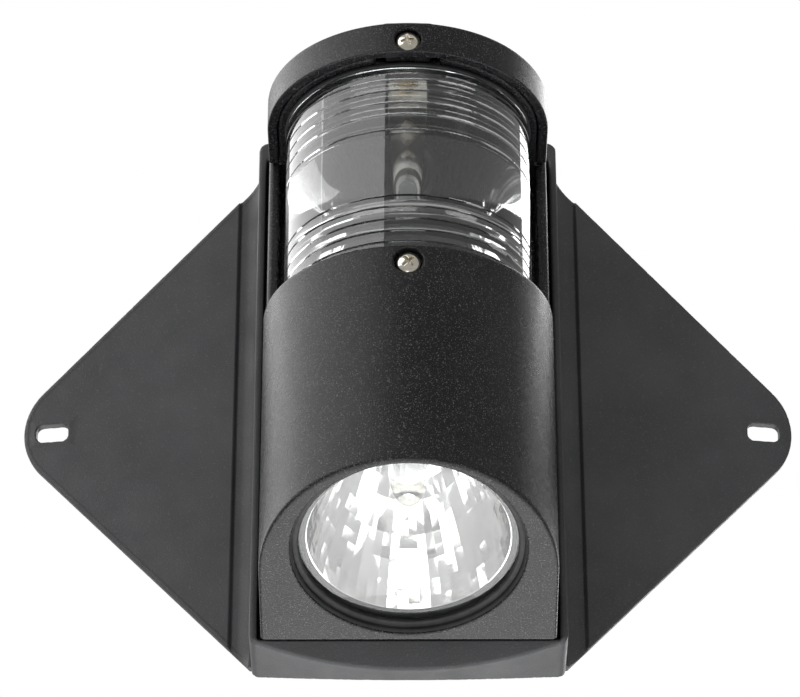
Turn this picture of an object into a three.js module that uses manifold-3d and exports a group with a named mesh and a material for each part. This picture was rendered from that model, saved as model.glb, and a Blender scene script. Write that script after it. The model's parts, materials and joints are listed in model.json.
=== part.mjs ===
// Combined masthead and foredeck navigation light on a flexible mast base.
// Units are millimetres. +X is to the right seen from in front of the mast,
// +Y points back into the mast, +Z is up along the mast. The origin is on the
// centre line of the concave mast face, level with the screw of the hood.

import * as THREE from 'three';
import { mergeVertices } from 'three/addons/utils/BufferGeometryUtils.js';
import Module from 'manifold-3d';

// ---------------------------------------------------------------- dimensions
const GAP = 0.3;              // clearance between touching pieces

const MAST_R = 73.2;          // radius of the mast that the back is moulded to
const TRAY_HALF = 39.4;       // half width of the tray
const TRAY_TOP = 77;          // straight top end
const TRAY_LOW = -70;         // corners of the bottom end
const TRAY_BULGE = 6.4;       // sagitta of the bottom end
const TRAY_RIM_Y = -9.5;      // front of the rim
const TRAY_FLOOR_Y = -3.2;    // floor of the recess
const RECESS_HALF = 37.2;
const RECESS_TOP = 71.5;
const RECESS_LOW = -69.6;

const WING_TILT = THREE.MathUtils.degToRad(8.53);
const WING_ROOT_X = 39.7;
const WING_ROOT_Y = 11.0;
const WING_T = 2.2;
const WING_TOP = 77;
const WING_LOW = -68;
const WING_MID = 4.5;
const WING_APEX = 67.6;       // sharp corner, measured along the wing
const WING_TIP_R = 16;
const WING_WEB_W = 5.2;       // thinned strip that bends
const WING_WEB_T = 1.3;
const SLOT_S = 53.6;          // slot centre along the wing
const SLOT_Z = 4.0;
const SLOT_L = 8.5;
const SLOT_H = 5.2;

const BODY_Y = -36;           // axis of the half-round front
const BODY_R = 36;
const CHASSIS_BACK_Y = -5.0;
const CHASSIS_FLOOR_Y = -7.5; // front of the back plate
const CHASSIS_WALL = 2.8;
const SCREEN_Y = -21.5;       // front edge of the side screens
const CAP_TOP = 71.1;
const CAP_LOW = 62.0;
const CAP_SCREW_Z = 65.85;
const HOOD_TOP = 5.2;
const HOOD_SCREW_Z = 0.73;
const HOOD_BACK_Y = -14.3;
const HOOD_WALL = 2.5;
const FACE_Z0 = -54.13;       // deck face at its front apex
const FACE_SLOPE = 0.318;     // drop per unit of depth
const FACE_T = 2.8;

const LENS_R = 31.1;
const LENS_IN = 28.0;
const LENS_LOW = 6.8;
const LENS_HIGH = 60.6;
const LENS_HALF_ANGLE = 120;  // degrees each side of dead ahead

const BULB_Z = 32.4;
const LAMP_S = 29.8;          // lamp centre along the deck face from its apex
const APERTURE_R = 27.5;

// ------------------------------------------------------------------- library
const wasm = await Module();
wasm.setup();

function toSolid(geometry) {
  const bare = geometry.clone();
  bare.deleteAttribute('normal');
  bare.deleteAttribute('uv');
  const g = mergeVertices(bare, 1e-4);
  const p = g.attributes.position.array;
  const tris = [];
  let volume = 0;
  for (let i = 0; i < g.index.count; i += 3) {
    const [a, b, c] = [g.index.getX(i), g.index.getX(i + 1), g.index.getX(i + 2)];
    if (a === b || b === c || c === a) continue;
    tris.push(a, b, c);
    const A = new THREE.Vector3().fromArray(p, a * 3);
    const B = new THREE.Vector3().fromArray(p, b * 3);
    const C = new THREE.Vector3().fromArray(p, c * 3);
    volume += A.dot(B.cross(C)) / 6;
  }
  if (volume < 0) tris.reverse();
  return new wasm.Manifold(new wasm.Mesh({
    numProp: 3,
    vertProperties: Float32Array.from(p),
    triVerts: Uint32Array.from(tris),
  }));
}

function toGeometry(manifold) {
  const mesh = manifold.getMesh();
  const g = new THREE.BufferGeometry();
  g.setAttribute('position', new THREE.BufferAttribute(Float32Array.from(mesh.vertProperties), 3));
  g.setIndex(new THREE.BufferAttribute(Uint32Array.from(mesh.triVerts), 1));
  g.computeVertexNormals();
  return g;
}

const union = (...s) => s.reduce((a, b) => a.add(b));
const cut = (s, ...tools) => tools.reduce((a, b) => a.subtract(b), s);

function polygon(points, holes = []) {
  const shape = new THREE.Shape(points.map(([x, y]) => new THREE.Vector2(x, y)));
  for (const h of holes) shape.holes.push(new THREE.Path(h.map(([x, y]) => new THREE.Vector2(x, y))));
  return shape;
}

const AXES = {
  // columns: where the drawing's right, up and depth directions go
  z: new THREE.Matrix4().identity(),
  x: new THREE.Matrix4().makeBasis(new THREE.Vector3(0, 1, 0), new THREE.Vector3(0, 0, 1), new THREE.Vector3(1, 0, 0)),
  y: new THREE.Matrix4().makeBasis(new THREE.Vector3(1, 0, 0), new THREE.Vector3(0, 0, 1), new THREE.Vector3(0, -1, 0)),
};

// A drawing pushed along an axis: z uses (x, y), x uses (y, z), y uses (x, z).
function prism(axis, points, from, to, holes) {
  const g = new THREE.ExtrudeGeometry(polygon(points, holes), { depth: to - from, bevelEnabled: false, steps: 1 });
  if (axis === 'y') {
    g.applyMatrix4(AXES.y);
    g.translate(0, to, 0);
  } else {
    g.translate(0, 0, from);
    g.applyMatrix4(AXES[axis]);
  }
  return g;
}

const box = (x0, x1, y0, y1, z0, z1) =>
  new THREE.BoxGeometry(x1 - x0, y1 - y0, z1 - z0).translate((x0 + x1) / 2, (y0 + y1) / 2, (z0 + z1) / 2);

// Round bar along Z from z0 to z1.
const barZ = (r, z0, z1, x = 0, y = 0, seg = 24) =>
  new THREE.CylinderGeometry(r, r, z1 - z0, seg).rotateX(Math.PI / 2).translate(x, y, (z0 + z1) / 2);
// Round bar along Y from y0 to y1.
const barY = (r, y0, y1, x = 0, z = 0, seg = 24) =>
  new THREE.CylinderGeometry(r, r, y1 - y0, seg).translate(x, (y0 + y1) / 2, z);

// Turned shape about Z; profile is a list of [radius, height].
const turned = (profile, seg = 32) =>
  new THREE.LatheGeometry(profile.map(([r, h]) => new THREE.Vector2(r, h)), seg).rotateX(Math.PI / 2);

function arc(cx, cy, r, from, to, steps) {
  const out = [];
  for (let i = 0; i <= steps; i++) {
    const a = THREE.MathUtils.degToRad(from + (to - from) * i / steps);
    out.push([cx + r * Math.cos(a), cy + r * Math.sin(a)]);
  }
  return out;
}

// Half-round front with straight sides, as a plan outline.
const dOutline = (r, back, steps = 32) => [[-r, back], ...arc(0, BODY_Y, r, 180, 360, steps), [r, back]];
const dPlate = (r, back, z0, z1, steps = 32) => toSolid(prism('z', dOutline(r, back, steps), z0, z1));

// Round wire or moulding along a smooth curve.
function wire(points, r, steps, sides = 8) {
  const curve = new THREE.CatmullRomCurve3(points.map((p) => new THREE.Vector3(...p)), false, 'centripetal');
  const section = new THREE.Shape(arc(0, 0, r, 0, 360, sides).slice(0, sides).map(([x, y]) => new THREE.Vector2(x, y)));
  return new THREE.ExtrudeGeometry(section, { steps, extrudePath: curve, bevelEnabled: false });
}

const group = new THREE.Group();
const look = {
  rubber: { color: 0x1f2021, roughness: 0.62, metalness: 0 },
  housing: { color: 0x161718, roughness: 0.42, metalness: 0 },
  seal: { color: 0x0d0d0d, roughness: 0.85, metalness: 0 },
  screw: { color: 0xb9b5ab, roughness: 0.28, metalness: 1 },
  lens: { color: 0xeef3f4, roughness: 0.06, metalness: 0, transparent: true, opacity: 0.35 },
  glass: { color: 0xf4f8f8, roughness: 0.03, metalness: 0, transparent: true, opacity: 0.3 },
  mirror: { color: 0xdfe3e6, roughness: 0.08, metalness: 1 },
  brass: { color: 0xb08d4f, roughness: 0.35, metalness: 1 },
  nickel: { color: 0xc8c6c0, roughness: 0.25, metalness: 1 },
  ceramic: { color: 0xe6e0d2, roughness: 0.6, metalness: 0 },
  red: { color: 0x9c1f1b, roughness: 0.5, metalness: 0 },
  black: { color: 0x121212, roughness: 0.5, metalness: 0 },
  tungsten: { color: 0x77736c, roughness: 0.4, metalness: 1 },
};

function add(name, solidOrGeometry, finish, parent = group) {
  const geometry = solidOrGeometry.isBufferGeometry ? solidOrGeometry : toGeometry(solidOrGeometry);
  const mesh = new THREE.Mesh(geometry, new THREE.MeshStandardMaterial(look[finish]));
  mesh.name = name;
  parent.add(mesh);
  return mesh;
}

// --------------------------------------------------------- flexible mast base
const SCREW_X = 28;
const SCREW_ZS = [50, -50];
const chassisScrewSpots = SCREW_ZS.flatMap((z) => [[-SCREW_X, z], [SCREW_X, z]]);
const CABLE_Z = -46;

function backArc(steps) {
  const half = THREE.MathUtils.radToDeg(Math.asin(TRAY_HALF / MAST_R));
  return arc(0, MAST_R, MAST_R, 270 + half, 270 - half, steps);
}

{
  const plan = [[-TRAY_HALF, TRAY_RIM_Y], [TRAY_HALF, TRAY_RIM_Y], ...backArc(22)];
  const bulgeR = (TRAY_HALF ** 2 + TRAY_BULGE ** 2) / (2 * TRAY_BULGE);
  const bulgeHalf = THREE.MathUtils.radToDeg(Math.asin((TRAY_HALF - 1.2) / bulgeR));
  const bulge = arc(0, TRAY_LOW - TRAY_BULGE + bulgeR, bulgeR, 270 - bulgeHalf, 270 + bulgeHalf, 20);
  const c = 3.0;
  const front = [
    ...arc(TRAY_HALF - c, TRAY_TOP - c, c, 0, 90, 5),
    ...arc(-TRAY_HALF + c, TRAY_TOP - c, c, 90, 180, 5),
    [-TRAY_HALF, TRAY_LOW + 1.6], [-TRAY_HALF + 0.35, TRAY_LOW + 0.5],
    ...bulge,
    [TRAY_HALF - 0.35, TRAY_LOW + 0.5], [TRAY_HALF, TRAY_LOW + 1.6],
  ];
  let tray = toSolid(prism('z', plan, -80, 80)).intersect(toSolid(prism('y', front, -12, 14)));
  tray = cut(tray,
    toSolid(box(-RECESS_HALF, RECESS_HALF, -14, TRAY_FLOOR_Y, RECESS_LOW, RECESS_TOP)),
    toSolid(barY(6.0, -8, 6, 0, CABLE_Z)),
    ...chassisScrewSpots.map(([x, z]) => toSolid(barY(2.05, -8, 2.4, x, z, 16))));
  add('mast_base_tray', tray, 'rubber');
}

// Flat triangular wings, each moulded to the back corner of the tray by a thin web.
for (const side of [-1, 1]) {
  const half = WING_TOP - WING_MID;
  const slope = Math.atan2(half, WING_APEX);              // angle of the edges
  const centre = WING_APEX - WING_TIP_R / Math.sin(slope);
  const turn = 90 - THREE.MathUtils.radToDeg(slope);
  const outline = [
    [0, WING_LOW],
    ...arc(centre, WING_MID, WING_TIP_R, -turn, turn, 14),
    [0, WING_TOP],
  ];
  const flat = (SLOT_L - 3) / 2;
  const bow = (x, k) => arc(x, SLOT_Z, SLOT_H / 2, k - 62, k + 62, 6);
  const slot = [...bow(SLOT_S + flat - 0.4, 0), ...bow(SLOT_S - flat + 0.4, 180)];
  const flip = (pts) => pts.map(([s, z]) => [side * s, z]);
  let wing = toSolid(prism('y', flip(outline), -WING_T / 2, WING_T / 2));
  const webCut = box(0, WING_WEB_W, -WING_T, WING_T / 2 - WING_WEB_T, WING_LOW - 2, WING_TOP + 2);
  if (side < 0) webCut.translate(-WING_WEB_W, 0, 0);
  wing = cut(wing, toSolid(prism('y', flip(slot), -4, 4)), toSolid(webCut));
  const mesh = add(side < 0 ? 'left_wing' : 'right_wing', wing, 'rubber');
  mesh.rotation.z = side * WING_TILT;
  mesh.position.set(side * WING_ROOT_X, WING_ROOT_Y, 0);
}

{
  let gasket = toSolid(prism('y', [[-34, -66], [34, -66], [34, 68], [-34, 68]], -4.7, -3.5,
    [[[-22, -58], [22, -58], [22, 58], [-22, 58]]]));
  gasket = cut(gasket, ...chassisScrewSpots.map(([x, z]) => toSolid(barY(2.4, -8, 2, x, z, 16))));
  add('tray_gasket', gasket, 'seal');
}

{
  // Turned about Z, then laid along Y: height 0 faces the front.
  const grommet = turned([[3.1, -4.7], [8.4, -4.7], [8.4, -3.5], [5.7, -3.5], [5.7, -0.25], [3.1, -0.25], [3.1, -4.7]], 28);
  grommet.rotateX(-Math.PI / 2);
  grommet.translate(0, 0, CABLE_Z);
  add('cable_grommet', toSolid(grommet), 'seal');
}

// ------------------------------------------------------------------- chassis
const TERMINAL_Z = -9;
const wireHoles = [[-11, -12.2], [11, -12.2]];
{
  const o = BODY_R;
  const i = BODY_R - CHASSIS_WALL;
  const low = RECESS_LOW + GAP;
  let c = union(
    // open-fronted tray: back plate, side walls and the end walls
    cut(
      toSolid(prism('x', [[CHASSIS_BACK_Y, low], [CHASSIS_BACK_Y, CAP_TOP], [SCREEN_Y, CAP_TOP],
        [SCREEN_Y, HOOD_TOP + GAP], [HOOD_BACK_Y + GAP, HOOD_TOP + GAP], [HOOD_BACK_Y + GAP, low]], -o, o)),
      toSolid(box(-i, i, -40, CHASSIS_FLOOR_Y, low + 2.5, CAP_TOP - 2.5))),
    // shelf under the lens, with a rim and a boss for the hood screw
    dPlate(i, CHASSIS_FLOOR_Y + 0.5, 2.4, HOOD_TOP),
    toSolid(box(-i - 0.9, i + 0.9, HOOD_BACK_Y + 0.9, CHASSIS_FLOOR_Y + 0.7, 2.8, HOOD_TOP - 0.4)),
    cut(dPlate(i - 0.05, -19, -4.0, 3.1), dPlate(i - 2.2, -10, -6, 5)),
    toSolid(box(-4.6, 4.6, -68.2, -53, -3.7, 3)),
    // arm over the lens, with a boss for the cap screw
    dPlate(i, CHASSIS_FLOOR_Y + 0.5, 62.2, 64.6),
    toSolid(box(-i - 0.9, i + 0.9, SCREEN_Y + 0.9, CHASSIS_FLOOR_Y + 0.7, 62.6, 64.2)),
    cut(dPlate(i - 0.05, -23, 63.8, 68.2), dPlate(i - 2.2, -10, 60, 70)),
    toSolid(box(-4.6, 4.6, -68.2, -53, 63.5, 68.35)),
  );
  c = cut(c,
    // front of both bosses stands back from the thickened screw seats
    toSolid(box(-6.2, 6.2, -70, -65.7, -6, 6)),
    toSolid(box(-6.2, 6.2, -70, -65.7, 60, 69)),
    toSolid(barY(2.05, -70, -54.4, 0, HOOD_SCREW_Z, 16)),
    toSolid(barY(2.05, -70, -54.4, 0, CAP_SCREW_Z, 16)),
    toSolid(barY(7.0, -9, -4, 0, CABLE_Z)),
    ...wireHoles.map(([x, y]) => toSolid(barZ(2.0, -6, 8, x, y, 16))),
    toSolid(barZ(1.3, -8, 8, 0, -31, 12)),
    toSolid(barZ(1.3, 60, 67, 0, -31, 12)),
    ...chassisScrewSpots.map(([x, z]) => toSolid(barY(2.05, -9, -4, x, z, 16))));
  add('housing_chassis', c, 'housing');
}

function screwSolid(headR, headH, shankR, length, recess = true) {
  // Head at the front (negative), shank to the back; turned about Z.
  const dome = [[0, -headH]];
  for (let i = 1; i <= 3; i++) {
    const t = i / 3;
    dome.push([headR * Math.sin(t * Math.PI / 2) * 0.999, -headH * (0.55 + 0.45 * Math.cos(t * Math.PI / 2))]);
  }
  let s = toSolid(turned([...dome, [headR, 0], [shankR, 0], [shankR, length - 1.2], [shankR * 0.35, length], [0, length]], 16));
  if (recess) {
    const a = headR * 0.56;
    s = cut(s, toSolid(box(-a, a, -0.42, 0.42, -headH - 1, -headH + 1.15)), toSolid(box(-0.42, 0.42, -a, a, -headH - 1, -headH + 1.15)));
  }
  return s;
}
const layAlongY = new THREE.Matrix4().makeRotationX(-Math.PI / 2);
function screwAt(headR, headH, shankR, length, x, seatY, z) {
  const g = toGeometry(screwSolid(headR, headH, shankR, length));
  g.applyMatrix4(layAlongY);
  g.translate(x, seatY, z);
  return toSolid(g);
}

chassisScrewSpots.forEach(([x, z]) => add(`chassis_screw_${z > 0 ? 'upper' : 'lower'}_${x < 0 ? 'left' : 'right'}`,
  screwAt(3.3, 2.2, 1.75, 9.6, x, CHASSIS_FLOOR_Y - GAP, z), 'screw'));

// ----------------------------------------------------------------------- cap
const SEAT_Y = -69.6;         // floor of both screw counterbores
{
  const inner = BODY_R - 2.5;
  const back = SCREEN_Y - GAP;
  let cap = union(
    cut(dPlate(BODY_R, back, CAP_LOW, CAP_TOP), dPlate(inner, 0, CAP_LOW - 1, CAP_TOP - 2.5)),
    toSolid(box(-5.6, 5.6, -70.5, -66, CAP_LOW, CAP_TOP - 2)));
  cap = cut(cap,
    toSolid(barY(3.6, -73, SEAT_Y, 0, CAP_SCREW_Z, 28)),
    toSolid(barY(2.05, -73, -60, 0, CAP_SCREW_Z, 20)));
  add('cap', cap, 'housing');
  add('cap_screw', screwAt(3.25, 1.9, 1.75, 13.6, 0, SEAT_Y - GAP, CAP_SCREW_Z), 'screw');
}

// --------------------------------------------------------------- masthead lens
{
  const wedge = (r, z0, z1) => {
    // everything behind the two end faces of the ring
    const a = THREE.MathUtils.degToRad(LENS_HALF_ANGLE);
    const p = (s) => [s * Math.sin(a) * r, BODY_Y - Math.cos(a) * r];
    return toSolid(prism('z', [[0, BODY_Y], p(1), [p(1)[0], 60], [p(-1)[0], 60], p(-1)], z0, z1));
  };
  const ring = (profile, seg) => cut(toSolid(turned(profile, seg).translate(0, BODY_Y, 0)), wedge(80, 0, 70));
  const groove = (z, d = 0.55, w = 0.5) => [[LENS_R, z - w], [LENS_R - d, z], [LENS_R, z + w]];
  const outer = [
    [LENS_R, LENS_LOW],
    ...[9.2, 12.35, 15.7, 19.3, 22.5].flatMap((z) => groove(z)),
    ...[42.0, 46.6, 50.2, 53.7, 57.0].flatMap((z) => groove(z)),
    [LENS_R, LENS_HIGH],
  ];
  add('masthead_lens', ring([[LENS_IN, LENS_LOW], ...outer, [LENS_IN, LENS_HIGH], [LENS_IN, LENS_LOW]], 39), 'lens');
  const seal = (z0, z1) => ring([[27.6, z0], [31.5, z0], [31.5, z1], [27.6, z1], [27.6, z0]], 39);
  add('lens_seal_top', seal(LENS_HIGH + GAP, LENS_HIGH + GAP + 1.0), 'seal');
  add('lens_seal_bottom', seal(HOOD_TOP + GAP, LENS_LOW - GAP), 'seal');
}

// ------------------------------------------------------------- masthead bulb
{
  const at = (g) => g.translate(0, BODY_Y, BULB_Z);
  const wall = 0.7;
  add('masthead_bulb_glass', toSolid(at(turned([
    [3.3, -13.5], [4.0, -13.5], [4.1, -12.2], [4.7, -11.2], [5.0, -9.8], [5.0, 9.8], [4.7, 11.2], [4.1, 12.2], [4.0, 13.5],
    [3.3, 13.5], [3.5, 12.0], [5.0 - wall, 9.6], [5.0 - wall, -9.6], [3.5, -12.0], [3.3, -13.5],
  ], 20))), 'glass');
  for (const s of [-1, 1]) {
    const p = [[0, 13.8], [4.0, 13.8], [4.0, 17.2], [3.4, 18.0], [1.5, 19.7], [0.8, 20.5], [0, 20.5]];
    add(s > 0 ? 'bulb_cap_top' : 'bulb_cap_bottom', toSolid(at(turned(p.map(([r, h]) => [r, s * h]), 20))), 'nickel');
  }
  add('bulb_filament', toSolid(at(barZ(0.3, -13.5, 13.5, 0, 0, 8))), 'tungsten');

  // plated strips that grip the two ends of the bulb
  const t = 0.6;
  const strip = (base, arm, dir) => {
    // closed section in (y, z): base flat, riser, arm; dir is +1 when the arm is above the base
    const pts = [
      [-43, base], [-27, base], [-27, arm + dir * t], [-42, arm + dir * t], [-42, arm], [-27 - t, arm],
      [-27 - t, base + dir * t], [-43, base + dir * t],
    ];
    return toSolid(prism('x', pts, -4, 4));
  };
  const hole = (r, y) => toSolid(barZ(r, 0, 70, 0, y, 16));
  add('contact_spring_top', cut(strip(61.9, 53.8, -1), cut(hole(1.3, -31), toSolid(box(-5, 5, -40, -20, 0, 60)))), 'nickel');
  add('contact_spring_bottom', cut(strip(HOOD_TOP + GAP, 11.0, 1), cut(hole(1.3, -31), toSolid(box(-5, 5, -40, -20, 9, 70)))), 'nickel');
  const rivet = (z, dir) => {
    const g = turned([[0, -2.4], [1.0, -2.4], [1.0, 0.9], [2.2, 0.9], [2.2, 1.3], [1.4, 1.8], [0, 1.8]].map(([r, h]) => [r, dir * h]), 16);
    return toSolid(g.translate(0, -31, z));
  };
  add('contact_rivet_bottom', rivet(HOOD_TOP + GAP, 1), 'brass');
  add('contact_rivet_top', rivet(61.9, -1), 'brass');
}

// ---------------------------------------------------------------------- hood
const faceLen = Math.hypot(1, FACE_SLOPE);
const along = new THREE.Vector3(0, 1 / faceLen, -FACE_SLOPE / faceLen);  // back along the face
const inward = new THREE.Vector3(0, FACE_SLOPE / faceLen, 1 / faceLen);  // into the hood
const lampCentre = new THREE.Vector3(0, BODY_Y - BODY_R, FACE_Z0).addScaledVector(along, LAMP_S);
const lampFrame = new THREE.Matrix4().makeBasis(new THREE.Vector3(1, 0, 0), along, inward).setPosition(lampCentre);
const inLamp = (geometry) => toSolid(geometry.applyMatrix4(lampFrame));

{
  const inner = BODY_R - HOOD_WALL;
  // half space above the deck face, pushed in by d
  const above = (d) => {
    const k = d / (1 / faceLen);
    const z = (y) => FACE_Z0 + k - FACE_SLOPE * (y - (BODY_Y - BODY_R));
    return toSolid(prism('x', [[-80, z(-80)], [0, z(0)], [0, 20], [-80, 20]], -50, 50));
  };
  const outerD = dPlate(BODY_R, HOOD_BACK_Y, -80, HOOD_TOP);
  let hood = cut(outerD.intersect(above(0)), dPlate(inner, 0, -90, 30).intersect(above(FACE_T)));
  const collar = inLamp(turned([[0, 1.5], [30.2, 1.5], [30.2, 9.0], [0, 9.0], [0, 1.5]], 33)).intersect(outerD);
  const boss = toSolid(box(-5.6, 5.6, -70.5, -66, HOOD_SCREW_Z - 5, HOOD_TOP));
  hood = union(hood, collar, boss);
  hood = cut(hood,
    inLamp(turned([[0, -1], [28.25, -1], [28.25, 0], [APERTURE_R, 0.75], [APERTURE_R, 6.6], [25.7, 6.6], [25.7, 12], [0, 12], [0, -1]], 33)),
    toSolid(barY(3.6, -73, SEAT_Y, 0, HOOD_SCREW_Z, 28)),
    toSolid(barY(2.05, -73, -60, 0, HOOD_SCREW_Z, 20)));
  add('hood', hood, 'housing');
  add('hood_screw', screwAt(3.25, 1.9, 1.75, 13.6, 0, SEAT_Y - GAP, HOOD_SCREW_Z), 'screw');
}

// ------------------------------------------------------------ deck floodlight
add('deck_glass', inLamp(turned([[0, 3.3], [26.7, 3.3], [27.2, 3.6], [27.2, 5.0], [0, 5.0]], 33)), 'glass');
add('deck_glass_gasket', inLamp(turned([[25.75, 5.3], [27.2, 5.3], [27.2, 6.3], [25.75, 6.3], [25.75, 5.3]], 33)), 'seal');
{
  const outer = [[25.35, 5.3], [25.35, 8.6], [24.4, 9.2], [22.6, 15.5], [18.6, 23.8], [12.8, 31.5], [8.6, 35.0], [8.6, 36.0]];
  const inner = [[6.4, 36.0], [6.6, 33.8], [11.4, 29.8], [17.2, 22.4], [21.2, 14.2], [24.1, 5.3]];
  add('deck_reflector', inLamp(turned([...outer, ...inner, outer[0]], 33)), 'mirror');
}
add('deck_capsule', inLamp(turned([[0, 15.5], [1.6, 16.2], [3.4, 18.2], [4.2, 20.6], [4.4, 24.0], [4.2, 28.0], [3.6, 31.0], [3.4, 36.0], [0, 36.0]], 20)), 'glass');
{
  const base = inLamp(turned([[0, 36.3], [8.4, 36.3], [8.4, 41.5], [7.2, 42.6], [0, 42.6]], 24));
  const pins = [-2.65, 2.65].map((x) => inLamp(barZ(0.75, 42.0, 47.6, x, 0, 12)));
  add('deck_lamp_base', union(base, ...pins), 'ceramic');
}
{
  let holder = inLamp(prism('z', [
    ...arc(4.6, 0, 4.6, -90, 90, 8), ...arc(-4.6, 0, 4.6, 90, 270, 8)], 42.9, 50.5));
  holder = cut(holder, ...[-2.65, 2.65].map((x) => inLamp(barZ(1.1, 42, 48.2, x, 0, 12))));
  add('deck_lampholder', holder, 'ceramic');
}
{
  // sprung ring that clips behind the rim of the lamp
  const ring = turned([[24.8, 9.3], [29.6, 9.3], [29.6, 10.3], [24.8, 10.3], [24.8, 9.3]], 33);
  const clear = dPlate(BODY_R - HOOD_WALL - GAP, 0, -90, 30);
  add('deck_retaining_clip', inLamp(ring).intersect(clear), 'nickel');
}

// ------------------------------------------------------- wiring and terminals
const tabXs = [-9, 9];
{
  let block = toSolid(box(-15, 15, -14.0, CHASSIS_FLOOR_Y - GAP, TERMINAL_Z - 6.5, TERMINAL_Z + 6.5));
  block = cut(block,
    ...tabXs.map((x) => toSolid(box(x - 3.5, x + 3.5, -15, -9.4, TERMINAL_Z - 2.9, TERMINAL_Z - 1.5))),
    ...tabXs.map((x) => toSolid(barY(1.8, -15, -9.0, x, TERMINAL_Z + 3.2, 14))));
  add('terminal_block', block, 'ceramic');
  for (const x of tabXs) {
    const end = x < 0 ? 'negative' : 'positive';
    add(`terminal_tab_${end}`, toSolid(box(x - 3.15, x + 3.15, -21.5, -9.7, TERMINAL_Z - 2.6, TERMINAL_Z - 1.8)), 'brass');
    const g = toGeometry(screwSolid(2.4, 1.3, 1.4, 4.2));
    g.applyMatrix4(layAlongY);
    g.translate(x, -14.3, TERMINAL_Z + 3.2);
    add(`terminal_screw_${end}`, toSolid(g), 'screw');
  }
}
{
  for (const x of tabXs) {
    add(`lead_receptacle_${x < 0 ? 'negative' : 'positive'}`, cut(
      toSolid(box(x - 4.1, x + 4.1, -23.6, -14.4, TERMINAL_Z - 3.9, TERMINAL_Z - 0.5)),
      toSolid(box(x - 3.5, x + 3.5, -22.0, -14, TERMINAL_Z - 2.95, TERMINAL_Z - 1.45))), 'black');
  }
}
{
  const top = new THREE.Vector3(0, 0, 50.8).applyMatrix4(lampFrame);
  for (const side of [-1, 1]) {
    const z = TERMINAL_Z - 2.2;
    const path = [
      [side * 4, top.y, top.z],
      [side * 4.5, top.y + 0.5, top.z + 1.9],
      [side * 6.2, top.y + 0.3, z - 0.3],
      [side * 8.1, top.y + 1.2, z + 0.3],
      [side * 9, -25.7, z],
      [side * 9, -23.9, z]];
    add(side < 0 ? 'deck_lead_negative' : 'deck_lead_positive', toSolid(wire(path, 1.0, 12)), side < 0 ? 'black' : 'red');
  }
}
{
  // masthead leads rise from the terminals through the shelf to the two contacts
  const rise = (x, pts) => toSolid(wire([[x, -12.2, TERMINAL_Z + 6.8], [x, -12.2, 1], [x, -12.2, 8], ...pts], 1.0, 16));
  add('masthead_lead_bottom', rise(-11, [[-10.6, -13.6, 8.6], [-8.2, -19.5, 8.2], [-4.4, -24.2, 7.9], [-2.6, -25.9, 7.8]]), 'black');
  add('masthead_lead_top', rise(11, [[11, -12.2, 30], [11, -12.2, 52], [10.6, -13.6, 58.4], [7.4, -20.0, 59.8], [4.4, -24.2, 59.6], [2.6, -25.9, 59.4]]), 'black');
}

export default group;
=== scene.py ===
import json
import math

import bpy
import numpy as np
from mathutils import Matrix, Quaternion, Vector


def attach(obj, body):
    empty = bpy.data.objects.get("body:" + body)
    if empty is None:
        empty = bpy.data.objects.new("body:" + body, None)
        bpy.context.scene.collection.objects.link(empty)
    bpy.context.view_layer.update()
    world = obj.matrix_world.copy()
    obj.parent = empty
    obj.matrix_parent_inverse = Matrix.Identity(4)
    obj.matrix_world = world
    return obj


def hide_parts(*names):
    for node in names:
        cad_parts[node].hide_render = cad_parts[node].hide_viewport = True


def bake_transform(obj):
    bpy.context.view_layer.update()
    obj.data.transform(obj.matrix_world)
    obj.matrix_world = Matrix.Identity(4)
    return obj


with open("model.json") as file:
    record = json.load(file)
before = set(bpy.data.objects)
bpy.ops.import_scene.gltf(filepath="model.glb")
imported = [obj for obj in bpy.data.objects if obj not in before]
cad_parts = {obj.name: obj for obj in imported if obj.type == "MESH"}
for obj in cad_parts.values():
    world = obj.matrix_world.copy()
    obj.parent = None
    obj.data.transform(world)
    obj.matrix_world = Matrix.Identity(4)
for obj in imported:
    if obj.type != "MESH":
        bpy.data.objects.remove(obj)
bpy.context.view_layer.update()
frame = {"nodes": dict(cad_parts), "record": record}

MM = 0.001

# ------------------------------------------------------------------ camera
target = Vector((0.0, -36.0, 0.0)) * MM
place = Vector((-1.9, -826.2, -476.3)) * MM
cam_data = bpy.data.cameras.new("camera")
cam_data.sensor_width = 36.0
cam_data.lens = 167.3
cam_data.shift_x = -0.0103
cam_data.shift_y = -0.0112
cam_data.clip_start = 0.01
cam_data.clip_end = 50.0
cam = bpy.data.objects.new("camera", cam_data)
bpy.context.scene.collection.objects.link(cam)
cam.location = place
cam.rotation_mode = "QUATERNION"
cam.rotation_quaternion = (target - place).to_track_quat("-Z", "Y") @ Quaternion((0, 0, 1), math.radians(-0.13))
bpy.context.scene.camera = cam
bpy.context.scene.view_settings.view_transform = "Standard"

# ------------------------------------------------------ light and backdrop
world = bpy.data.worlds.new("studio")
bpy.context.scene.world = world
world.use_nodes = True
wt = world.node_tree
wt.nodes.clear()
w_out = wt.nodes.new("ShaderNodeOutputWorld")
w_mix = wt.nodes.new("ShaderNodeMixShader")
w_seen = wt.nodes.new("ShaderNodeBackground")
w_light = wt.nodes.new("ShaderNodeBackground")
w_path = wt.nodes.new("ShaderNodeLightPath")
w_seen.inputs["Color"].default_value = (1, 1, 1, 1)
w_seen.inputs["Strength"].default_value = 1.0
w_light.inputs["Color"].default_value = (1.0, 0.99, 0.98, 1)
w_open = wt.nodes.new("ShaderNodeMath")
w_open.operation = "MAXIMUM"
wt.links.new(w_path.outputs["Is Camera Ray"], w_open.inputs[0])
w_open.inputs[1].default_value = 0.0
w_dim = wt.nodes.new("ShaderNodeMapRange")
w_dim.inputs["To Min"].default_value = 0.42
w_dim.inputs["To Max"].default_value = 0.34
wt.links.new(w_path.outputs["Is Transmission Ray"], w_dim.inputs["Value"])
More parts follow.
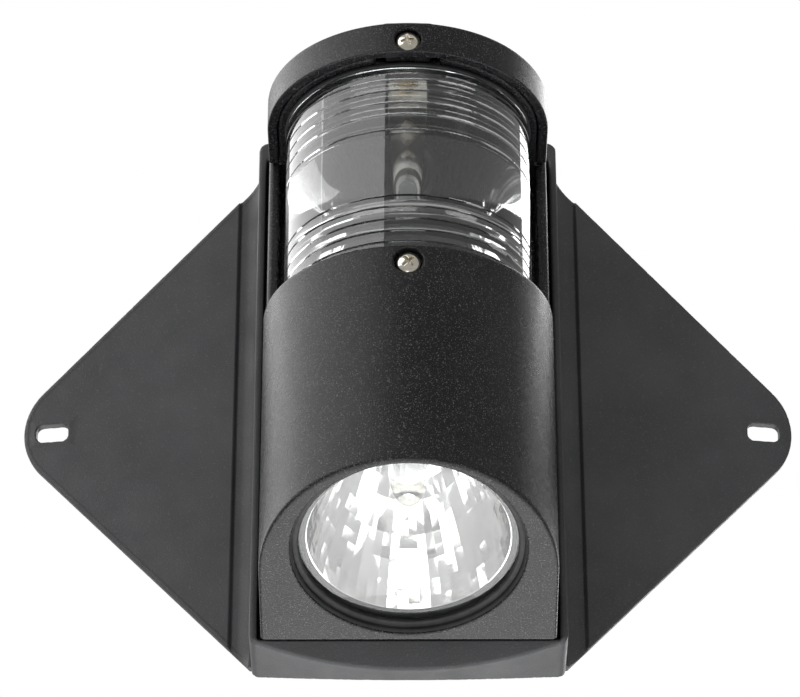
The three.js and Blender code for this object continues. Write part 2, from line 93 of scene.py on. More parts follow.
wt.links.new(w_dim.outputs["Result"], w_light.inputs["Strength"])
wt.links.new(w_open.outputs[0], w_mix.inputs[0])
wt.links.new(w_light.outputs[0], w_mix.inputs[1])
wt.links.new(w_seen.outputs[0], w_mix.inputs[2])
wt.links.new(w_mix.outputs[0], w_out.inputs[0])


def softbox(name, azimuth, elevation, distance, width, height, radiance, seen_through=True):
    """A rectangular lamp aimed at the part; azimuth 0 is in front, positive to the right."""
    data = bpy.data.lights.new(name, "AREA")
    data.shape = "RECTANGLE"
    data.size, data.size_y = width, height
    data.energy = radiance * math.pi * width * height
    o = bpy.data.objects.new(name, data)
    bpy.context.scene.collection.objects.link(o)
    a, e = math.radians(azimuth), math.radians(elevation)
    d = Vector((math.sin(a) * math.cos(e), -math.cos(a) * math.cos(e), math.sin(e)))
    o.location = target + d * distance
    o.rotation_mode = "QUATERNION"
    o.rotation_quaternion = (-d).to_track_quat("-Z", "Y")
    o.visible_camera = False
    o.visible_transmission = seen_through
    return o


softbox("softbox_far_left", -118, 28, 2.4, 2.3, 2.4, 2.2)
softbox("softbox_left", -55, 29, 2.4, 2.5, 2.0, 1.65, False)
softbox("softbox_front_right", 24, 30, 2.6, 0.8, 2.0, 1.5, False).visible_glossy = False
softbox("strip_right", 149, 28, 2.6, 1.3, 2.2, 3.3)
softbox("fill_below", -30, -60, 2.0, 1.7, 1.6, 2.2)
softbox("fill_below_right", 62, -55, 2.2, 0.9, 0.9, 3.0)
softbox("fill_below_back", 180, -54, 2.2, 2.6, 2.2, 2.6)

# --------------------------------------------------------------- materials


def new_material(name):
    m = bpy.data.materials.new(name)
    m.use_nodes = True
    nt = m.node_tree
    return m, nt, nt.nodes["Principled BSDF"]


def coords(nt):
    return nt.nodes.new("ShaderNodeTexCoord").outputs["Object"]


def noise(nt, vec, scale, detail=3.0, rough=0.5):
    n = nt.nodes.new("ShaderNodeTexNoise")
    n.inputs["Scale"].default_value = scale
    n.inputs["Detail"].default_value = detail
    n.inputs["Roughness"].default_value = rough
    nt.links.new(vec, n.inputs["Vector"])
    return n.outputs["Fac"]


def span(nt, value, a, b, lo=0.0, hi=1.0):
    """value between a and b taken to lo and hi."""
    n = nt.nodes.new("ShaderNodeMapRange")
    n.inputs["From Min"].default_value = a
    n.inputs["From Max"].default_value = b
    n.inputs["To Min"].default_value = lo
    n.inputs["To Max"].default_value = hi
    nt.links.new(value, n.inputs["Value"])
    return n.outputs["Result"]


def tint(nt, value, dark, light):
    n = nt.nodes.new("ShaderNodeMix")
    n.data_type = "RGBA"
    n.inputs[6].default_value = (*dark, 1)
    n.inputs[7].default_value = (*light, 1)
    nt.links.new(value, n.inputs[0])
    return n.outputs[2]


def bump(nt, height, depth, strength, before=None):
    n = nt.nodes.new("ShaderNodeBump")
    n.inputs["Distance"].default_value = depth
    n.inputs["Strength"].default_value = strength
    nt.links.new(height, n.inputs["Height"])
    if before is not None:
        nt.links.new(before, n.inputs["Normal"])
    return n.outputs["Normal"]


def moulded(name, dark, light, rough, grain_scale, grain_depth, mottle_scale, rough_vary=0.08, swirl=0.0, ior=1.5, painted_glint=None):
    """Moulded plastic or rubber: fine grain, slow mottling and uneven gloss."""
    m, nt, p = new_material(name)
    v = coords(nt)
    slow = noise(nt, v, mottle_scale, 4.0, 0.6)
    colour = tint(nt, span(nt, slow, 0.35, 0.65), dark, light)
    # painted glints: light specks in the base colour, on the high points of the grain noise, stand in for the sparkle
    # of light off the grain
    if painted_glint:
        glint_mix = nt.nodes.new("ShaderNodeMix")
        glint_mix.data_type = "RGBA"
        glint_mix.inputs[7].default_value = (*painted_glint, 1)
        nt.links.new(colour, glint_mix.inputs[6])
        nt.links.new(span(nt, noise(nt, v, grain_scale, 1.0), 0.60, 0.72), glint_mix.inputs[0])
        colour = glint_mix.outputs[2]
    nt.links.new(colour, p.inputs["Base Color"])
    gloss = noise(nt, v, mottle_scale * 3.1, 3.0)
    nt.links.new(span(nt, gloss, 0.3, 0.7, rough - rough_vary, rough + rough_vary), p.inputs["Roughness"])
    normal = bump(nt, noise(nt, v, grain_scale, 2.0, 0.55), grain_depth, 1.0)
    if swirl:
        normal = bump(nt, noise(nt, v, mottle_scale * 1.7, 2.0), swirl, 1.0, normal)
    nt.links.new(normal, p.inputs["Normal"])
    p.inputs["IOR"].default_value = ior
    return m


def metal(name, dark, light, rough, stretch=(1, 1, 1), scale=900.0, depth=0.000012):
    m, nt, p = new_material(name)
    mapping = nt.nodes.new("ShaderNodeMapping")
    mapping.inputs["Scale"].default_value = stretch
    nt.links.new(coords(nt), mapping.inputs["Vector"])
    v = mapping.outputs[0]
    fine = noise(nt, v, scale, 3.0)
    slow = noise(nt, v, scale * 0.2, 3.0)
    nt.links.new(tint(nt, span(nt, slow, 0.35, 0.65), dark, light), p.inputs["Base Color"])
    nt.links.new(span(nt, slow, 0.3, 0.7, rough * 0.75, rough * 1.3), p.inputs["Roughness"])
    nt.links.new(bump(nt, fine, depth, 1.0), p.inputs["Normal"])
    p.inputs["Metallic"].default_value = 1.0
    return m


def clear(name, ior, rough, tone, ripple, level=0.5, weight=1.0):
    """Clear glass or plastic with slight ripple. Lamps reach what is behind it."""
    m, nt, p = new_material(name)
    p.inputs["Transmission Weight"].default_value = weight
    p.inputs["Specular IOR Level"].default_value = level
    p.inputs["IOR"].default_value = ior
    p.inputs["Base Color"].default_value = (*tone, 1)
    v = coords(nt)
    nt.links.new(span(nt, noise(nt, v, 160.0), 0.3, 0.7, rough * 0.5, rough * 1.6), p.inputs["Roughness"])
    nt.links.new(bump(nt, noise(nt, v, 140.0, 2.0), ripple, 1.0), p.inputs["Normal"])
    mix = nt.nodes.new("ShaderNodeMixShader")
    path = nt.nodes.new("ShaderNodeLightPath")
    through = nt.nodes.new("ShaderNodeBsdfTransparent")
    through.inputs["Color"].default_value = (0.93, 0.95, 0.95, 1)
    nt.links.new(path.outputs["Is Shadow Ray"], mix.inputs[0])
    nt.links.new(p.outputs[0], mix.inputs[1])
    nt.links.new(through.outputs[0], mix.inputs[2])
    nt.links.new(mix.outputs[0], nt.nodes["Material Output"].inputs["Surface"])
    return m


MAT = {
    # the last colour given to base_rubber and housing_black is the painted glint colour of the specks
    "base_rubber": moulded("base_rubber", (0.031, 0.032, 0.034), (0.045, 0.046, 0.049), 0.50, 2400.0, 0.00007, 38.0, 0.07, 0.00014, 1.5, (0.064, 0.065, 0.068)),
    "housing_black": moulded("housing_black", (0.004, 0.004, 0.005), (0.008, 0.008, 0.009), 0.27, 3300.0, 0.00011, 60.0, 0.05, 0.0, 1.39, (0.10, 0.102, 0.108)),
    "seal_rubber": moulded("seal_rubber", (0.006, 0.006, 0.007), (0.014, 0.014, 0.015), 0.60, 2600.0, 0.00003, 200.0),
    "screw_steel": metal("screw_steel", (0.66, 0.62, 0.53), (0.92, 0.88, 0.79), 0.16),
    "lens_clear": clear("lens_clear", 1.586, 0.03, (0.97, 0.985, 0.985), 0.00001, 1.0),
    "lamp_glass": clear("lamp_glass", 1.5, 0.015, (0.98, 0.99, 0.99), 0.000006),
    "bulb_glass": clear("bulb_glass", 1.5, 0.06, (0.93, 0.94, 0.94), 0.00002, 1.0, 0.88),
    "reflector_mirror": metal("reflector_mirror", (0.85, 0.85, 0.85), (0.93, 0.93, 0.92), 0.07, scale=500.0, depth=0.000006),
    "nickel": metal("nickel", (0.60, 0.58, 0.54), (0.80, 0.78, 0.74), 0.26),
    "brass": metal("brass", (0.52, 0.37, 0.15), (0.74, 0.57, 0.28), 0.30, (1, 8, 8), 700.0),
    "filament": metal("filament", (0.22, 0.21, 0.20), (0.36, 0.35, 0.33), 0.40),
    "ceramic_cream": moulded("ceramic_cream", (0.68, 0.64, 0.54), (0.84, 0.80, 0.70), 0.50, 1200.0, 0.00003, 120.0),
    "lead_red": moulded("lead_red", (0.36, 0.02, 0.018), (0.52, 0.04, 0.03), 0.38, 1800.0, 0.00001, 220.0),
    "lead_black": moulded("lead_black", (0.014, 0.014, 0.014), (0.026, 0.026, 0.026), 0.38, 1800.0, 0.00001, 220.0),
}

lens_skin = MAT["lens_clear"].node_tree.nodes["Principled BSDF"]
lens_skin.inputs["Coat Weight"].default_value = 0.4
lens_skin.inputs["Coat IOR"].default_value = 1.8
lens_skin.inputs["Coat Roughness"].default_value = 0.03

# ----------------------------------------------------------------- meshing


def make(name, verts, faces, material, body, nodes, normals=None, sharp=38.0):
    """A piece from millimetre vertices, riding on a body and standing for CAD nodes."""
    me = bpy.data.meshes.new(name)
    verts = np.asarray(verts, float) * MM
    faces = [tuple(int(i) for i in f) for f in faces] if not isinstance(faces, np.ndarray) else faces.tolist()
    me.from_pydata(verts.tolist(), [], faces)
    me.validate()
    me.update()
    me.polygons.foreach_set("use_smooth", np.ones(len(me.polygons), bool))
    if normals is not None and len(normals) == len(me.vertices):
        me.normals_split_custom_set_from_vertices(np.asarray(normals, float).tolist())
    elif sharp is not None:
        me.set_sharp_from_angle(angle=math.radians(sharp))
    o = bpy.data.objects.new(name, me)
    bpy.context.scene.collection.objects.link(o)
    me.materials.append(MAT[material])
    if body:
        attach(o, body)
    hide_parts(*nodes)
    return o


def surface(f, lo, hi, h):
    """Surface nets of f(x, y, z) < 0 in a box: vertices, quads and normals, in mm."""
    lo, hi = np.array(lo, float), np.array(hi, float)
    n = np.ceil((hi - lo) / h).astype(int) + 1
    ax = [(lo[k] + h * np.arange(n[k])).astype(np.float32) for k in range(3)]
    X, Y, Z = np.meshgrid(*ax, indexing="ij", copy=False)
    D = f(X, Y, Z).astype(np.float32)
    D[np.abs(D) < 1e-6] = 1e-6
    inside = D < 0
    m = n - 1
    total = int(m[0] * m[1] * m[2])
    sums = np.zeros((3, total))
    count = np.zeros(total)
    quads = []
    for a in range(3):
        s0 = [slice(None)] * 3
        s1 = [slice(None)] * 3
        s0[a], s1[a] = slice(0, -1), slice(1, None)
        cross = inside[tuple(s0)] != inside[tuple(s1)]
        idx = np.argwhere(cross)
        step = np.zeros(3, int)
        step[a] = 1
        d0 = D[idx[:, 0], idx[:, 1], idx[:, 2]].astype(float)
        nx = idx + step
        d1 = D[nx[:, 0], nx[:, 1], nx[:, 2]].astype(float)
        pos = lo + h * idx
        pos[:, a] += h * d0 / (d0 - d1)
        b, c = (a + 1) % 3, (a + 2) % 3
        ids = []
        ok = np.ones(len(idx), bool)
        for ob, oc in ((1, 1), (0, 1), (0, 0), (1, 0)):
            cell = idx.copy()
            cell[:, b] -= ob
            cell[:, c] -= oc
            good = (cell >= 0).all(1) & (cell < m).all(1)
            ok &= good
            flat = (cell[:, 0] * m[1] + cell[:, 1]) * m[2] + cell[:, 2]
            flat = np.where(good, flat, 0)
            g = flat[good]
            count += np.bincount(g, minlength=total)
            for k in range(3):
                sums[k] += np.bincount(g, weights=pos[good, k], minlength=total)
            ids.append(flat)
        q = np.stack(ids, 1)[ok]
        out = d0[ok] < 0
        quads.append(np.where(out[:, None], q, q[:, ::-1]))
    quads = np.concatenate(quads)
    used = np.nonzero(count)[0]
    index = np.full(total, -1)
    index[used] = np.arange(len(used))
    v = (sums[:, used] / count[used]).T
    quads = index[quads]

    def gradient(p, e=0.03):
        g = np.stack([f(*(p + np.eye(3)[k] * e).T) - f(*(p - np.eye(3)[k] * e).T) for k in range(3)], 1) / (2 * e)
        return g

    for _ in range(3):
        g = gradient(v)
        d = f(*v.T)
        move = -g * (d / np.maximum((g * g).sum(1), 0.25))[:, None]
        size = np.linalg.norm(move, axis=1, keepdims=True)
        v = v + move * np.minimum(1.0, 0.6 * h / np.maximum(size, 1e-9))
    g = gradient(v, 0.12)
    normals = g / np.maximum(np.linalg.norm(g, axis=1, keepdims=True), 1e-9)
    return v, quads, normals


def both(a, b, r=0.0):
    """Where both hold, with the edge rounded by r."""
    if not r:
        return np.maximum(a, b)
    return np.minimum(-r, np.maximum(a, b)) + np.hypot(np.maximum(r + a, 0), np.maximum(r + b, 0))


def either(a, b, r=0.0):
    """Where either holds, with the inner corner filled by r."""
    return -both(-a, -b, r)


def less(a, b, r=0.0):
    return both(a, -b, r)


def slab(v, a, b):
    return np.maximum(a - v, v - b)


def block(x, y, z, b):
    return np.maximum(np.maximum(slab(x, b[0], b[1]), slab(y, b[2], b[3])), slab(z, b[4], b[5]))


def dee(x, y, r):
    """Half-round front with straight sides."""
    return np.where(y < BODY_Y, np.hypot(x, y - BODY_Y), np.abs(x)) - r


BODY_Y = -36.0
FACE_Z0, FACE_SLOPE = -54.13, 0.318
FACE_LEN = math.hypot(1, FACE_SLOPE)
ALONG = np.array([0, 1 / FACE_LEN, -FACE_SLOPE / FACE_LEN])
INWARD = np.array([0, FACE_SLOPE / FACE_LEN, 1 / FACE_LEN])
LAMP = np.array([0, -72.0, FACE_Z0]) + 29.8 * ALONG


def lamp_coords(x, y, z):
    py, pz = y - LAMP[1], z - LAMP[2]
    t = py * ALONG[1] + pz * ALONG[2]
    u = py * INWARD[1] + pz * INWARD[2]
    return np.hypot(x, t), u


def face_plane(y, z):
    return ((FACE_Z0 - FACE_SLOPE * (y + 72.0)) - z) / FACE_LEN


def in_lamp(p):
    p = np.asarray(p, float)
    return LAMP + p[:, :1] * np.array([1, 0, 0]) + p[:, 1:2] * ALONG + p[:, 2:3] * INWARD


def bulb_axis(p):
    return np.asarray(p, float) + np.array([0, BODY_Y, 32.4])


def lens_axis(p):
    return np.asarray(p, float) + np.array([0, BODY_Y, 0])


def lathe(profile, seg, put, a0=0.0, a1=360.0, closed=True):
    """A (radius, height) outline turned about its axis; closed joins the last point to the first."""
    pr = np.array(profile, float)
    full = abs(a1 - a0) >= 360
    k = seg if full else seg + 1
    ang = np.radians(a0 + (a1 - a0) * np.arange(k) / seg)
    n = len(pr)
    v = np.zeros((k, n, 3))
    v[..., 0] = pr[None, :, 0] * np.sin(ang)[:, None]
    v[..., 1] = -pr[None, :, 0] * np.cos(ang)[:, None]
    v[..., 2] = pr[None, :, 1]
    faces = []
    cols = seg if full else seg
    rows = n if closed else n - 1
    for i in range(cols):
        j = (i + 1) % k
        for r in range(rows):
            s = (r + 1) % n
            if pr[r, 0] < 1e-6 and pr[s, 0] < 1e-6:
                continue
            faces.append((i * n + r, j * n + r, j * n + s, i * n + s))
    if not full:
        faces.append(tuple(range(n - 1, -1, -1)))
        faces.append(tuple((k - 1) * n + r for r in range(n)))
    return put(v.reshape(-1, 3)), faces


def weld_and_orient(o):
    """Joins the points on the axis and turns the faces outwards."""
    import bmesh

    bm = bmesh.new()
    bm.from_mesh(o.data)
    bmesh.ops.remove_doubles(bm, verts=bm.verts, dist=1e-7)
    bmesh.ops.dissolve_degenerate(bm, edges=bm.edges, dist=1e-8)
    bmesh.ops.recalc_face_normals(bm, faces=bm.faces)
    bm.to_mesh(o.data)
    bm.free()
    o.data.update()
    o.data.set_sharp_from_angle(angle=math.radians(38))
    return o


def turned(name, profile, seg, put, material, body, nodes, a0=0.0, a1=360.0):
    v, f = lathe(profile, seg, put, a0, a1)
    return weld_and_orient(make(name, v, f, material, body, nodes, sharp=None))


def rounded(profile, r, steps=3):
    """The same closed outline with its corners rounded by up to r."""
    p = np.array(profile, float)
    out = []
    for i in range(len(p)):
        a, b, c = p[i - 1], p[i], p[(i + 1) % len(p)]
        if b[0] < 1e-6:
            out.append(b)
            continue
        la, lc = np.linalg.norm(a - b), np.linalg.norm(c - b)
        k = min(r, la * 0.4, lc * 0.4)
        s, e = b + (a - b) / la * k, b + (c - b) / lc * k
        for t in np.linspace(0, 1, steps + 1):
            out.append((1 - t) ** 2 * s + 2 * t * (1 - t) * b + t * t * e)
    return np.array(out)


# -------------------------------------------------------------- mast base
def tray_shape(x, y, z):
    d = both(np.abs(x) - 39.4, -9.5 - y, 0.45)
    d = both(d, 73.2 - np.hypot(x, y - 73.2), 0.5)
    bulge = np.hypot(x, z - 48.08) - 124.48
    ends = both(both(z - 77.0, np.abs(x) - 39.4, 3.0), bulge, 2.2)
    lip = (-9.5 - y + 0.5 * np.maximum(-69.4 - z, 0)) / 1.1
    d = both(d, lip)
    d = both(d, ends, 0.75)
    recess = both(both(np.abs(x) - 37.2, slab(z, -69.6, 71.5), 0.8), y + 3.2)
    d = less(d, recess, 0.45)
    d = less(d, np.hypot(x, z + 46) - 6.0)
    for sx, sz in ((-28, 50), (28, 50), (-28, -50), (28, -50)):
        d = less(d, np.maximum(np.hypot(x - sx, z - sz) - 2.05, y - 2.4))
    return d


v, q, n = surface(tray_shape, (-41, -11.5, -78), (41, 22.5, 78.5), 0.62)
make("mast_base_moulding", v, q, "base_rubber", "mast_base", ["mast_base_tray"], n)

TILT = math.radians(8.53)
EDGE = math.atan2(72.5, 67.6)


def wing_shape(side):
    ct, st = math.cos(TILT), math.sin(TILT)

    def f(x, y, z):
        dx, dy = side * x - 39.7, y - 11.0
        s = dx * ct + dy * st
        t = -dx * st + dy * ct
        # triangle with a rounded outer corner
        ns, nz = math.sin(EDGE), math.cos(EDGE)
        reach = 67.6 * ns
        top = s * ns + (z - 4.5) * nz - reach
        low = s * ns - (z - 4.5) * nz - reach
        outline = both(top, low, 16.0)
        outline = both(outline, -1.2 - s)
        outline = both(outline, slab(z, -68.0, 77.0))
        # thickness, with the thinned strip beside the base
        ramp = np.clip((s - 4.6) / 0.9, 0, 1)
        ramp = ramp * ramp * (3 - 2 * ramp)
        front = -0.2 - 0.9 * ramp
        near = np.clip((3.4 - s) / 3.4, 0, 1)
        front = front - 1.5 * near * near
        bead = np.exp(-(((outline + 0.9) / 0.28) ** 2)) * 0.10
        edge_of_slot = np.maximum(np.abs(s - 53.6) - 4.25, np.abs(z - 4.0) - 2.6)
        lift = 0.22 * np.exp(-((np.maximum(edge_of_slot, 0) / 1.3) ** 2))
        d = both(outline, np.maximum(front - bead - lift - t, t - 1.1), 0.38)
        slot = both(np.abs(s - 53.6 - 0.04 * (z - 4)) - 4.25, np.abs(z - 4.0) - 2.6, 1.9)
        return less(d, slot, 0.3)

    return f


for side, word in ((-1, "left"), (1, "right")):
    x0, x1 = (-102.5, -37.6) if side < 0 else (37.6, 102.5)
    v, q, n = surface(wing_shape(side), (x0, 7.0, -70), (x1, 24, 79), 0.45)
    o = make(f"{word}_wing_skin", v, q, "base_rubber", None, [f"{word}_wing"], n)
    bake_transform(o)


# ---------------------------------------------------------------- housing
def screw_holes(d, x, y, z, zs, seat=3.6):
    d = less(d, np.maximum(np.hypot(x, z - zs) - seat, y + 69.6), 0.2)
    return less(d, np.maximum(np.hypot(x, z - zs) - 2.05, y + 60.0))


def hood_shape(x, y, z):
    plane = face_plane(y, z)
    outer = both(both(both(dee(x, y, 36.0), y + 14.3, 0.5), plane, 0.8), z - 5.2, 0.9)
    inner = np.maximum(dee(x, y, 33.5), plane + 2.8)
    d = less(outer, inner, 0.3)
    r, u = lamp_coords(x, y, z)
    collar = np.maximum(np.maximum(r - 30.2, slab(u, 1.5, 9.0)), outer)
    d = either(d, collar)
    d = either(d, np.maximum(block(x, y, z, (-5.6, 5.6, -70.5, -66, -4.27, 5.2)), outer), 0.4)
    d = less(d, np.maximum(r - 28.3, u - 8.2), 0.4)
    d = less(d, np.maximum(r - 25.7, u - 12.0))
    return screw_holes(d, x, y, z, 0.73)


def cap_shape(x, y, z):
    outer = both(both(dee(x, y, 36.0), y + 21.8, 0.5), z - 71.1, 1.0)
    outer = both(outer, 62.0 - z, 0.3)
    inner = both(dee(x, y, 33.5), z - 68.6, 0.6)
    d = less(outer, inner, 0.3)
    boss = np.maximum(both(np.hypot(x, (z - 66.6) * 0.8) - 6.2, slab(y, -70.5, -66.0)), outer + 0.02)
    d = either(d, np.maximum(boss, 62.6 - z), 1.0)
    return screw_holes(d, x, y, z, 65.85, 3.36)


def chassis_shape(x, y, z):
    yz_upper = np.maximum(slab(y, -21.5, -5.0), slab(z, 5.5, 71.1))
    yz_lower = np.maximum(slab(y, -14.0, -5.0), slab(z, -69.3, 6.2))
    side = either(yz_upper, yz_lower, 0.4)
    body = both(side, np.abs(x) - 36.0, 1.3)
    body = less(body, both(np.abs(x) - 33.2, np.maximum(slab(z, -66.8, 68.6), y + 7.5), 0.4), 0.35)
    for z0, z1, ring in ((2.4, 5.2, (-4.0, 3.1)), (62.2, 64.6, (63.8, 68.2))):
        plate = both(np.maximum(dee(x, y, 33.2), y + 6.8), slab(z, z0, z1), 0.3)
        body = either(body, plate, 0.4)
        rim = np.maximum(np.maximum(dee(x, y, 33.15), -dee(x, y, 31.0)), np.maximum(slab(z, *ring), y + 19.0))
        body = either(body, rim)
    for b in ((-4.6, 4.6, -68.2, -53, -3.7, 3.0), (-4.6, 4.6, -68.2, -53, 63.5, 68.35)):
        body = either(body, block(x, y, z, b), 0.3)
    for zs, z0, z1, soft in ((0.73, -6, 6, 0.3), (65.85, 60, 69, 1.6)):
        body = less(body, block(x, y, z, (-6.2 - soft, 6.2 + soft, -71, -65.7, z0, z1)), soft)
        body = less(body, np.maximum(np.hypot(x, z - zs) - 2.05, slab(y, -71, -54.4)))
    body = less(body, np.maximum(np.hypot(x, z + 46) - 7.0, y + 3.0))
    for hx in (-11, 11):
        body = less(body, np.maximum(np.hypot(x - hx, y + 12.2) - 2.0, slab(z, -6, 8)))
    for sx, sz in ((-28, 50), (28, 50), (-28, -50), (28, -50)):
        body = less(body, np.maximum(np.hypot(x - sx, z - sz) - 2.05, y + 3.0))
    for zz in ((-8, 8), (60, 67)):
        body = less(body, np.maximum(np.hypot(x, y + 31) - 1.3, slab(z, *zz)))
    return body


v, q, n = surface(hood_shape, (-37, -73.2, -74.5), (37, -13.2, 6.4), 0.575)
hood = make("hood_shell", v, q, "housing_black", "hood_cover", ["hood"], n)
bezel = rounded([[28.7, 0.75], [28.3, 0.4], [27.75, 1.0], [27.75, 1.9], [26.7, 2.0], [26.3, 2.3], [26.3, 3.2], [27.5, 3.2],
                 [27.5, 6.6], [25.7, 6.6], [25.7, 9.2], [28.7, 9.2]], 0.15)
o = turned("hood_lamp_seat", bezel, 160, in_lamp, "seal_rubber", "hood_cover", [])

v, q, n = surface(cap_shape, (-37, -73.2, 61), (37, -20.6, 72.2), 0.42)
make("cap_shell", v, q, "housing_black", "cap_cover", ["cap"], n)

v, q, n = surface(chassis_shape, (-37.2, -70, -70.6), (37.2, -3.8, 72.4), 0.72)
make("chassis_moulding", v, q, "housing_black", "mast_base", ["housing_chassis"], n)


# ----------------------------------------------------------------- screws
def screw_shape(head_r, head_h, shank, length):
    def f(x, y, z):
        # y grows towards the shank; 0 is the seat
        r = np.hypot(x, z)
        ball = (head_r * head_r + head_h * head_h) / (2 * head_h) * 1.25
        dome = np.sqrt(x * x + z * z + (y - (ball - head_h)) ** 2) - ball
        head = both(both(np.maximum(dome, r - head_r), y, 0.12), r - head_r, 0.35)
        arm = head_r * 0.56
        fall = np.clip((y + head_h) * 0.16, 0, 0.2)
        cross = np.minimum(np.maximum(np.abs(x) - arm + fall, np.abs(z) - 0.42 + fall),
                           np.maximum(np.abs(z) - arm + fall, np.abs(x) - 0.42 + fall))
        head = less(head, np.maximum(cross, y + head_h - 1.2), 0.08)
        thread = 0.13 * np.cos(2 * math.pi * (y / 1.1 - np.arctan2(z, x) / (2 * math.pi)))
        stem = both(r - shank + 0.13 - thread * (y > 0.8), slab(y, -0.3, length - 0.3), 0.3)
        return either(head, stem * 0.8, 0.1)

    return f


def screw_mesh(head_r, head_h, shank, length, h):
    return surface(screw_shape(head_r, head_h, shank, length),
                   (-head_r - 0.4, -head_h - 0.5, -head_r - 0.4), (head_r + 0.4, length + 0.4, head_r + 0.4), h)


def turn(v, degrees):
    a = math.radians(degrees)
    c, s = math.cos(a), math.sin(a)
    return np.stack([v[:, 0] * c - v[:, 2] * s, v[:, 1], v[:, 0] * s + v[:, 2] * c], 1)


v, q, n = screw_mesh(3.25, 1.9, 1.75, 13.6, 0.13)
for name, body, z, rot in (("cap_screw", "cap_fastener", 65.85, 12), ("hood_screw", "hood_fastener", 0.73, 38)):
    make(f"{name}_pan_head", turn(v, rot) + np.array([0, -69.9, z]), q, "screw_steel", body, [name], turn(n, rot))
v, q, n = screw_mesh(3.3, 2.2, 1.75, 9.6, 0.2)
for x, z in ((-28, 50), (28, 50), (-28, -50), (28, -50)):
    word = f"{'upper' if z > 0 else 'lower'}_{'left' if x < 0 else 'right'}"
    make(f"chassis_screw_{word}_pan_head", turn(v, x + z) + np.array([x, -7.8, z]), q, "screw_steel", "mast_base",
         [f"chassis_screw_{word}"], turn(n, x + z))

# ---------------------------------------------------------- masthead light
LENS_R = 31.1
outer = [(LENS_R, 6.8)]
for z in (9.2, 12.35, 15.7, 19.3, 22.5, 42.0, 46.6, 50.2, 53.7, 57.0):
    outer += [(LENS_R, z - 0.3), (LENS_R - 0.42, z), (LENS_R, z + 0.3)]
outer += [(LENS_R, 60.6)]
inner = []
tops = [42.0, 46.6, 50.2, 53.7, 57.0, 60.6]
lows = [22.5, 19.3, 15.7, 12.35, 9.2, 6.8]
for a, b in reversed(list(zip(tops[:-1], tops[1:]))):
    inner += [(30.2, b - 0.05), (27.6, a + 0.25)]
for t in np.linspace(0, 1, 25):
    z = 42.0 - 19.5 * t
    inner.append((27.9 - 0.9 * (1 - (2 * t - 1) ** 2), z))
for a, b in zip(lows[:-1], lows[1:]):
    inner += [(27.6, a - 0.25), (30.2, b + 0.05)]
turned("masthead_prism_lens", outer + inner, 200, lens_axis, "lens_clear", "lens", ["masthead_lens"], -120, 120)
for name, z0, z1 in (("lens_seal_top", 60.9, 61.9), ("lens_seal_bottom", 5.5, 6.5)):
    turned(f"{name}_ring", rounded([[27.6, z0], [31.5, z0], [31.5, z1], [27.6, z1]], 0.3), 120, lens_axis,
           "seal_rubber", "lens", [name], -120, 120)

turned("masthead_bulb_tube", [
    [3.3, -13.5], [4.0, -13.5], [4.06, -12.6], [4.2, -12.0], [4.55, -11.4], [4.85, -10.8], [5.0, -9.8], [5.0, 9.8],
    [4.85, 10.8], [4.55, 11.4], [4.2, 12.0], [4.06, 12.6], [4.0, 13.5], [3.3, 13.5], [3.45, 12.2], [3.9, 11.2],
    [4.3, 9.8], [4.3, -9.8], [3.9, -11.2], [3.45, -12.2]], 64, bulb_axis, "bulb_glass", "masthead_bulb", ["masthead_bulb_glass"])
for s, word in ((1, "top"), (-1, "bottom")):
    prof = [[0, 13.8], [3.7, 13.8], [4.0, 14.1], [4.0, 15.0], [3.86, 15.2], [4.0, 15.4], [4.0, 17.0], [3.75, 17.6],
            [3.1, 18.3], [1.6, 19.6], [0.9, 20.3], [0, 20.5]]
    turned(f"bulb_cap_{word}_shell", [[r, s * z] for r, z in prof], 48, bulb_axis, "nickel", "masthead_bulb", [f"bulb_cap_{word}"])


def tube(points, r, sides=8):
    p = np.array(points, float)
    t = np.gradient(p, axis=0)
    t /= np.linalg.norm(t, axis=1, keepdims=True)
    ref = np.array([0.31, 0.87, 0.38])
    a = np.cross(t, ref)
    a /= np.linalg.norm(a, axis=1, keepdims=True)
    b = np.cross(t, a)
    ang = 2 * math.pi * np.arange(sides) / sides
    v = p[:, None] + r * (a[:, None] * np.cos(ang)[None, :, None] + b[:, None] * np.sin(ang)[None, :, None])
    faces = []
    for i in range(len(p) - 1):
        for j in range(sides):
            k = (j + 1) % sides
            faces.append((i * sides + j, i * sides + k, (i + 1) * sides + k, (i + 1) * sides + j))
    faces.append(tuple(range(sides)))
    faces.append(tuple((len(p) - 1) * sides + j for j in range(sides - 1, -1, -1)))
    return v.reshape(-1, 3), faces


zs = np.linspace(-13.5, 13.5, 620)
coil = np.where(np.abs(zs) < 10.5, 0.42, 0.05)
wire = np.stack([coil * np.cos(zs * 2 * math.pi / 0.62), coil * np.sin(zs * 2 * math.pi / 0.62), zs], 1)
v, f = tube(bulb_axis(wire), 0.11, 6)
weld_and_orient(make("bulb_filament_coil", v, f, "filament", "masthead_bulb", ["bulb_filament"], sharp=None))

# -------------------------------------------------------------- deck light
turned("deck_front_glass", rounded([[0, 3.3], [26.9, 3.3], [27.2, 3.7], [27.2, 5.0], [0, 5.0]], 0.25), 128, in_lamp,
       "lamp_glass", "hood_cover", ["deck_glass"])
turned("deck_glass_seal", rounded([[24.55, 5.06], [27.25, 5.06], [27.25, 6.3], [25.75, 6.3], [25.75, 5.29], [24.55, 5.29]], 0.1), 96, in_lamp,
       "seal_rubber", "hood_cover", ["deck_glass_gasket"])


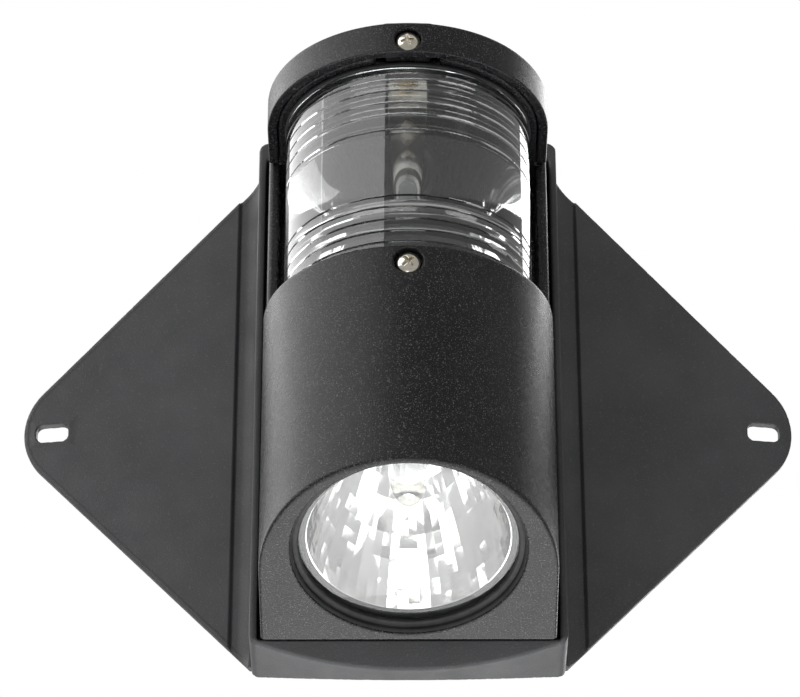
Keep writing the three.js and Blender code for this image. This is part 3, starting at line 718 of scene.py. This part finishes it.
def bowl():
    """Faceted mirror inside, smooth glass back outside, joined at rim and neck."""
    rows = [(25.2, 5.35), (24.3, 5.5), (23.85, 7.0), (23.2, 9.2), (22.4, 11.4), (21.55, 13.4), (20.55, 15.6), (19.3, 18.0),
            (17.95, 20.2), (16.4, 22.6), (14.7, 24.9), (12.75, 27.5), (10.9, 29.6), (9.2, 31.4), (6.9, 33.8), (6.5, 36.0)]
    back = [(8.6, 36.0), (8.6, 35.0), (12.8, 31.5), (18.6, 23.8), (22.6, 15.5), (24.4, 9.2), (25.35, 8.6), (25.35, 5.35)]
    seg = 56
    pr = rows + back
    rng = np.random.default_rng(5)
    v, f = [], []
    for i, (r, u) in enumerate(pr):
        facet = 2 < i < len(rows) - 1
        for k in range(seg):
            a = 2 * math.pi * k / seg
            rr = r + (rng.uniform(-0.10, 0.10) if facet else 0.0)
            v.append((rr * math.sin(a), -rr * math.cos(a), u))
    n = len(pr)
    for i in range(n):
        j = (i + 1) % n
        for k in range(seg):
            m = (k + 1) % seg
            f.append((i * seg + k, i * seg + m, j * seg + m, j * seg + k))
    return in_lamp(v), f


v, f = bowl()
o = make("deck_faceted_reflector", v, f, "reflector_mirror", "hood_cover", ["deck_reflector"], sharp=None)
weld_and_orient(o)
o.data.set_sharp_from_angle(angle=math.radians(2))
turned("deck_capsule_glass", [[0, 15.5], [0.9, 15.7], [1.8, 16.2], [2.8, 17.2], [3.6, 18.6], [4.1, 20.4], [4.35, 22.4], [4.4, 24.5],
       [4.3, 27.0], [4.0, 29.5], [3.6, 31.0], [3.4, 33.0], [3.4, 36.0], [0, 36.0]], 48, in_lamp, "lamp_glass", "hood_cover", ["deck_capsule"])

# ------------------------------------------------ carried-over CAD pieces
record = frame["record"]
slot_of = {p["node"]: p["material_slot"] for p in record["subparts"]}
for name, o in frame["nodes"].items():
    if o.hide_render:
        continue
    slot = slot_of[name]
    o.data.materials.clear()
    o.data.materials.append(MAT[slot])
    bevel = o.modifiers.new("edge", "BEVEL")
    bevel.width = 0.00012
    bevel.segments = 2
    bevel.limit_method = "ANGLE"
    bevel.angle_limit = math.radians(40)
    bevel.use_clamp_overlap = True

# ------------------------------------------------------------------- floor
m, nt, p = new_material("pale_floor")
nt.links.new(tint(nt, noise(nt, coords(nt), 2.0), (0.80, 0.80, 0.80), (0.84, 0.84, 0.84)), p.inputs["Base Color"])
p.inputs["Roughness"].default_value = 0.8
me = bpy.data.meshes.new("floor")
me.from_pydata([(-8, -8, -2.6), (8, -8, -2.6), (8, 8, -2.6), (-8, 8, -2.6)], [], [(0, 1, 2, 3)])
floor = bpy.data.objects.new("floor", me)
bpy.context.scene.collection.objects.link(floor)
me.materials.append(m)

bpy.context.view_layer.update()
